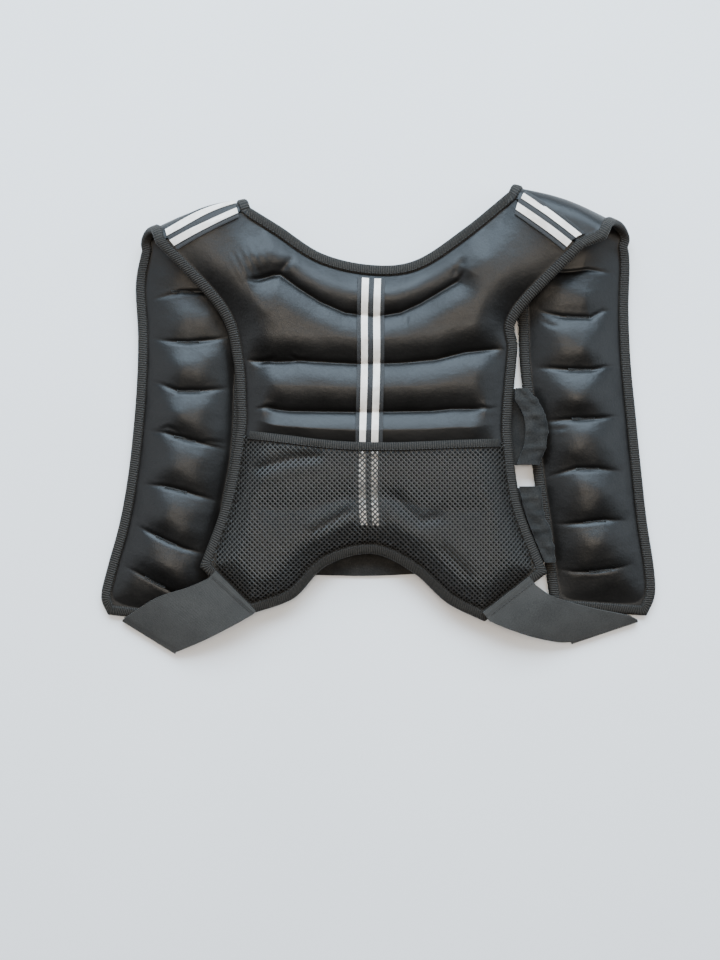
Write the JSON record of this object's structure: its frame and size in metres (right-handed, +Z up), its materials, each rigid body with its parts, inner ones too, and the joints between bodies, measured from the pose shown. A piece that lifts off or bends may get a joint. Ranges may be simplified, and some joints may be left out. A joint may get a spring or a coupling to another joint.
{
  "type": "weighted vest",
  "caption": "Padded weighted training vest lying flat, back up, with turned shoulders, ribbed back panel, mesh pocket, striped tapes and elastic side straps.",
  "frame": {"origin": "middle of the bounding box in plan, at the surface that the vest lies on", "axes": "+Z up out of the back panel, +Y towards the neck, +X to the right as seen from above"},
  "size_m": [0.525, 0.4428, 0.0471],
  "materials": {
    "neoprene": "smooth knit-faced neoprene, soft satin sheen",
    "binding_tape": "ribbed woven tape, matte",
    "pocket_mesh": "knitted net with small holes, matte",
    "dark_tape": "woven tape, matte",
    "reflective_stripe": "pale reflective tape, slight gloss",
    "elastic": "fine ribbed elastic, matte",
    "loop_fabric": "brushed loop fabric, matte"
  },
  "bodies": {
    "root": {"back_panel": "neoprene", "front_panel_left": "neoprene", "front_panel_right": "neoprene", "binding_neck": "binding_tape", "binding_back": "binding_tape", "binding_front_left": "binding_tape", "binding_front_right": "binding_tape", "mesh_pocket": "pocket_mesh", "pocket_hem": "binding_tape", "back_tape": "dark_tape", "back_stripe_first": "reflective_stripe", "back_stripe_second": "reflective_stripe", "shoulder_left_tape": "dark_tape", "shoulder_left_stripe_first": "reflective_stripe", "shoulder_left_stripe_second": "reflective_stripe", "shoulder_right_tape": "dark_tape", "shoulder_right_stripe_first": "reflective_stripe", "shoulder_right_stripe_second": "reflective_stripe", "side_strap_left": "elastic", "side_strap_right": "elastic", "closure_strap_upper": "loop_fabric", "closure_strap_lower": "loop_fabric"}
  },
  "joints": []
}
